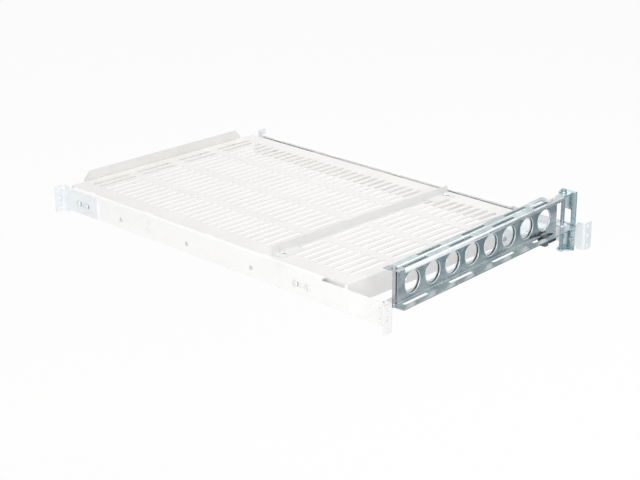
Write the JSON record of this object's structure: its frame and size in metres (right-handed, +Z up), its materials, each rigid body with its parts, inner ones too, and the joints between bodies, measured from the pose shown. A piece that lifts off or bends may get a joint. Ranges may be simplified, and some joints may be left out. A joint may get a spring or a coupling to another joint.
{
  "type": "sliding rack shelf",
  "caption": "Sliding slotted tray on telescopic slides with rack-mount rails, a rear stop bar, a front lip and a folding cable arm behind it.",
  "frame": {"origin": "centre between the rails, on the front face of the front posts, at mid height of the one rack unit that the ears fill", "axes": "X across the rack, +Y from the front posts to the rear posts, +Z up; the shelf slides out towards -Y"},
  "size_m": [0.4826, 0.753, 0.1017],
  "materials": {
    "bracket_steel": "bright zinc plate",
    "screw_steel": "bright zinc plated screws",
    "stop_rubber": "matte",
    "cage_plastic": "natural moulded plastic",
    "pin_steel": "turned steel, zinc plated",
    "arm_steel": "blue zinc plate",
    "rail_steel": "bright zinc plate",
    "deck_steel": "pale warm grey powder coat, satin",
    "lip_steel": "pale warm grey powder coat, satin",
    "ball_steel": "polished",
    "slide_steel": "bright zinc plate, rolled"
  },
  "bodies": {
    "rails": {"rail_right": "rail_steel", "rail_left": "rail_steel", "rail_rivets_right": "screw_steel", "rail_rivets_left": "screw_steel", "front_ear_bracket_right": "rail_steel", "front_ear_bracket_left": "rail_steel", "rear_ear_bracket_right": "rail_steel", "rear_ear_bracket_left": "rail_steel", "ear_bracket_screws_right": "screw_steel", "ear_bracket_screws_left": "screw_steel", "slide_outer_right": "slide_steel", "slide_outer_left": "slide_steel", "slide_stop_right": "stop_rubber", "slide_stop_left": "stop_rubber", "cable_arm_bracket": "bracket_steel", "cable_arm_bracket_screws": "screw_steel", "cable_arm_pivot_rod": "pin_steel", "cable_arm_rod_clip": "screw_steel"},
    "shelf": {"shelf_deck": "deck_steel", "shelf_front_lip": "lip_steel", "shelf_lip_rivets": "screw_steel", "stop_bar": "lip_steel", "stop_bar_screws": "screw_steel", "stop_bar_nuts": "screw_steel", "cable_arm_tongue": "bracket_steel", "cable_arm_tongue_screws": "screw_steel", "slide_inner_right": "slide_steel", "slide_inner_left": "slide_steel", "slide_inner_screws_right": "screw_steel", "slide_inner_screws_left": "screw_steel"},
    "rear_arm": {"cable_arm_rear": "arm_steel", "cable_arm_elbow_pin": "pin_steel", "cable_arm_washer": "pin_steel", "cable_arm_bumper": "stop_rubber", "cable_arm_bumper_clip": "cage_plastic", "cable_arm_top_clip": "cage_plastic"},
    "front_arm": {"cable_arm_front": "arm_steel", "cable_arm_end_pin": "pin_steel"},
    "middle_right": {"slide_middle_right": "slide_steel"},
    "outer_balls_right": {"slide_outer_cages_right": "cage_plastic", "slide_outer_balls_right": "ball_steel"},
    "inner_balls_right": {"slide_inner_cages_right": "cage_plastic", "slide_inner_balls_right": "ball_steel"},
    "middle_left": {"slide_middle_left": "slide_steel"},
    "outer_balls_left": {"slide_outer_cages_left": "cage_plastic", "slide_outer_balls_left": "ball_steel"},
    "inner_balls_left": {"slide_inner_cages_left": "cage_plastic", "slide_inner_balls_left": "ball_steel"}
  },
  "joints": [
    {"name": "shelf_slide", "type": "slide", "parent": "rails", "child": "shelf", "axis": [0, -1, 0], "range_m": [0, 0.508]},
    {"name": "middle_slide_right", "type": "slide", "parent": "rails", "child": "middle_right", "axis": [0, -1, 0], "range_m": [0, 0.254]},
    {"name": "outer_ball_slide_right", "type": "slide", "parent": "rails", "child": "outer_balls_right", "axis": [0, -1, 0], "range_m": [0, 0.127]},
    {"name": "inner_ball_slide_right", "type": "slide", "parent": "rails", "child": "inner_balls_right", "axis": [0, -1, 0], "range_m": [0, 0.381]},
    {"name": "middle_slide_left", "type": "slide", "parent": "rails", "child": "middle_left", "axis": [0, -1, 0], "range_m": [0, 0.254]},
    {"name": "outer_ball_slide_left", "type": "slide", "parent": "rails", "child": "outer_balls_left", "axis": [0, -1, 0], "range_m": [0, 0.127]},
    {"name": "inner_ball_slide_left", "type": "slide", "parent": "rails", "child": "inner_balls_left", "axis": [0, -1, 0], "range_m": [0, 0.381]},
    {"name": "rear_arm_swing", "type": "hinge", "parent": "rails", "child": "rear_arm", "pos_m": [-0.21, 0.69825, 0.04125], "axis": [0, 0, 1], "range_deg": [-43, 0]},
    {"name": "elbow_swing", "type": "hinge", "parent": "rear_arm", "child": "front_arm", "pos_m": [0.2145, 0.7265, 0.04125], "axis": [0, 0, 1], "range_deg": [0, 79]}
  ],
  "couplings": [
    {"joint": "middle_slide_right", "follows": "shelf_slide", "ratio": 0.5},
    {"joint": "outer_ball_slide_right", "follows": "shelf_slide", "ratio": 0.25},
    {"joint": "inner_ball_slide_right", "follows": "shelf_slide", "ratio": 0.75},
    {"joint": "middle_slide_left", "follows": "shelf_slide", "ratio": 0.5},
    {"joint": "outer_ball_slide_left", "follows": "shelf_slide", "ratio": 0.25},
    {"joint": "inner_ball_slide_left", "follows": "shelf_slide", "ratio": 0.75},
    {"joint": "rear_arm_swing", "follows": "shelf_slide", "rad_per_m": -1.4501},
    {"joint": "elbow_swing", "follows": "shelf_slide", "rad_per_m": 2.6803}
  ]
}
